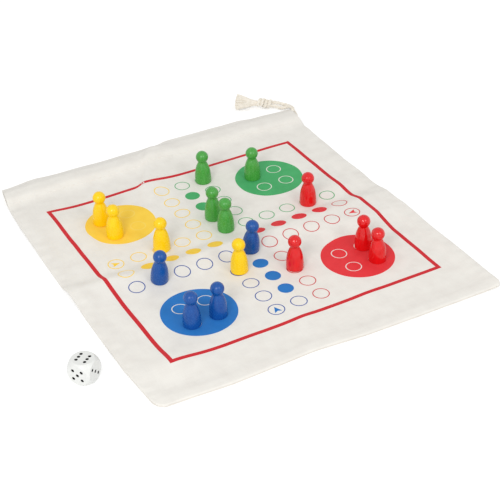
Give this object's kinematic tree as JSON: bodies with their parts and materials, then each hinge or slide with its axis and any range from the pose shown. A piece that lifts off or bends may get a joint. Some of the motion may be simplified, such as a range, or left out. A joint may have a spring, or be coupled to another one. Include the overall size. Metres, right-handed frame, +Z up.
{
  "type": "travel board game",
  "caption": "Cotton drawstring bag laid flat as the printed board of a cross-and-circle race game, with turned wooden pawns on its fields and a die beside it.",
  "frame": {"origin": "centre of the base of the box round bag, pawns and die, on the table; the free cord is left out of that box", "axes": "+Z up from the table, +Y along the bag from its bottom seam to its drawstring mouth, +X along the mouth towards the end that the cord comes out of"},
  "size_m": [0.2921, 0.3177, 0.0282],
  "materials": {
    "cotton_front": "plain-weave unbleached cotton",
    "cotton_back": "plain-weave unbleached cotton",
    "sewing_thread": "matt cotton thread",
    "cord_cotton": "twisted cotton cord",
    "ink_blue": "screen-printed on cotton",
    "ink_yellow": "screen-printed on cotton",
    "ink_green": "screen-printed on cotton",
    "ink_red": "screen-printed on cotton",
    "lacquer_blue": "gloss lacquer",
    "lacquer_yellow": "gloss lacquer",
    "lacquer_green": "gloss lacquer",
    "lacquer_red": "gloss lacquer",
    "die_white": "polished",
    "pip_black": "paint"
  },
  "bodies": {
    "bag": {"back_panel": "cotton_back", "front_panel": "cotton_front", "side_seam_left": "sewing_thread", "side_seam_right": "sewing_thread", "bottom_seam": "sewing_thread", "back_casing_stitching": "sewing_thread", "front_casing_stitching": "sewing_thread", "print_blue": "ink_blue", "print_yellow": "ink_yellow", "print_green": "ink_green", "print_red": "ink_red"},
    "drawstring": {"drawstring_in_casing": "cord_cotton", "drawstring_strand_back": "cord_cotton", "drawstring_strand_front": "cord_cotton", "drawstring_knot": "cord_cotton", "drawstring_tassel": "cord_cotton"},
    "pawn_green_1": {"pawn_green_1": "lacquer_green"},
    "pawn_green_2": {"pawn_green_2": "lacquer_green"},
    "pawn_green_3": {"pawn_green_3": "lacquer_green"},
    "pawn_green_4": {"pawn_green_4": "lacquer_green"},
    "pawn_yellow_1": {"pawn_yellow_1": "lacquer_yellow"},
    "pawn_yellow_2": {"pawn_yellow_2": "lacquer_yellow"},
    "pawn_yellow_3": {"pawn_yellow_3": "lacquer_yellow"},
    "pawn_yellow_4": {"pawn_yellow_4": "lacquer_yellow"},
    "pawn_blue_1": {"pawn_blue_1": "lacquer_blue"},
    "pawn_blue_2": {"pawn_blue_2": "lacquer_blue"},
    "pawn_blue_3": {"pawn_blue_3": "lacquer_blue"},
    "pawn_blue_4": {"pawn_blue_4": "lacquer_blue"},
    "pawn_red_1": {"pawn_red_1": "lacquer_red"},
    "pawn_red_2": {"pawn_red_2": "lacquer_red"},
    "pawn_red_3": {"pawn_red_3": "lacquer_red"},
    "pawn_red_4": {"pawn_red_4": "lacquer_red"},
    "die": {"die": "die_white", "die_pips": "pip_black"}
  },
  "joints": [
    {"name": "drawstring_pull", "type": "slide", "parent": "bag", "child": "drawstring", "axis": [1, 0, 0], "range_m": [0, 0.008]},
    {"name": "lift_green_1", "type": "slide", "parent": "bag", "child": "pawn_green_1", "axis": [0, 0, 1], "range_m": [0, 0.045]},
    {"name": "lift_green_2", "type": "slide", "parent": "bag", "child": "pawn_green_2", "axis": [0, 0, 1], "range_m": [0, 0.045]},
    {"name": "lift_green_3", "type": "slide", "parent": "bag", "child": "pawn_green_3", "axis": [0, 0, 1], "range_m": [0, 0.045]},
    {"name": "lift_green_4", "type": "slide", "parent": "bag", "child": "pawn_green_4", "axis": [0, 0, 1], "range_m": [0, 0.045]},
    {"name": "lift_yellow_1", "type": "slide", "parent": "bag", "child": "pawn_yellow_1", "axis": [0, 0, 1], "range_m": [0, 0.045]},
    {"name": "lift_yellow_2", "type": "slide", "parent": "bag", "child": "pawn_yellow_2", "axis": [0, 0, 1], "range_m": [0, 0.045]},
    {"name": "lift_yellow_3", "type": "slide", "parent": "bag", "child": "pawn_yellow_3", "axis": [0, 0, 1], "range_m": [0, 0.045]},
    {"name": "lift_yellow_4", "type": "slide", "parent": "bag", "child": "pawn_yellow_4", "axis": [0, 0, 1], "range_m": [0, 0.045]},
    {"name": "lift_blue_1", "type": "slide", "parent": "bag", "child": "pawn_blue_1", "axis": [0, 0, 1], "range_m": [0, 0.045]},
    {"name": "lift_blue_2", "type": "slide", "parent": "bag", "child": "pawn_blue_2", "axis": [0, 0, 1], "range_m": [0, 0.045]},
    {"name": "lift_blue_3", "type": "slide", "parent": "bag", "child": "pawn_blue_3", "axis": [0, 0, 1], "range_m": [0, 0.045]},
    {"name": "lift_blue_4", "type": "slide", "parent": "bag", "child": "pawn_blue_4", "axis": [0, 0, 1], "range_m": [0, 0.045]},
    {"name": "lift_red_1", "type": "slide", "parent": "bag", "child": "pawn_red_1", "axis": [0, 0, 1], "range_m": [0, 0.045]},
    {"name": "lift_red_2", "type": "slide", "parent": "bag", "child": "pawn_red_2", "axis": [0, 0, 1], "range_m": [0, 0.045]},
    {"name": "lift_red_3", "type": "slide", "parent": "bag", "child": "pawn_red_3", "axis": [0, 0, 1], "range_m": [0, 0.045]},
    {"name": "lift_red_4", "type": "slide", "parent": "bag", "child": "pawn_red_4", "axis": [0, 0, 1], "range_m": [0, 0.045]},
    {"name": "lift_die", "type": "slide", "parent": "bag", "child": "die", "axis": [0, 0, 1], "range_m": [0, 0.045]}
  ]
}
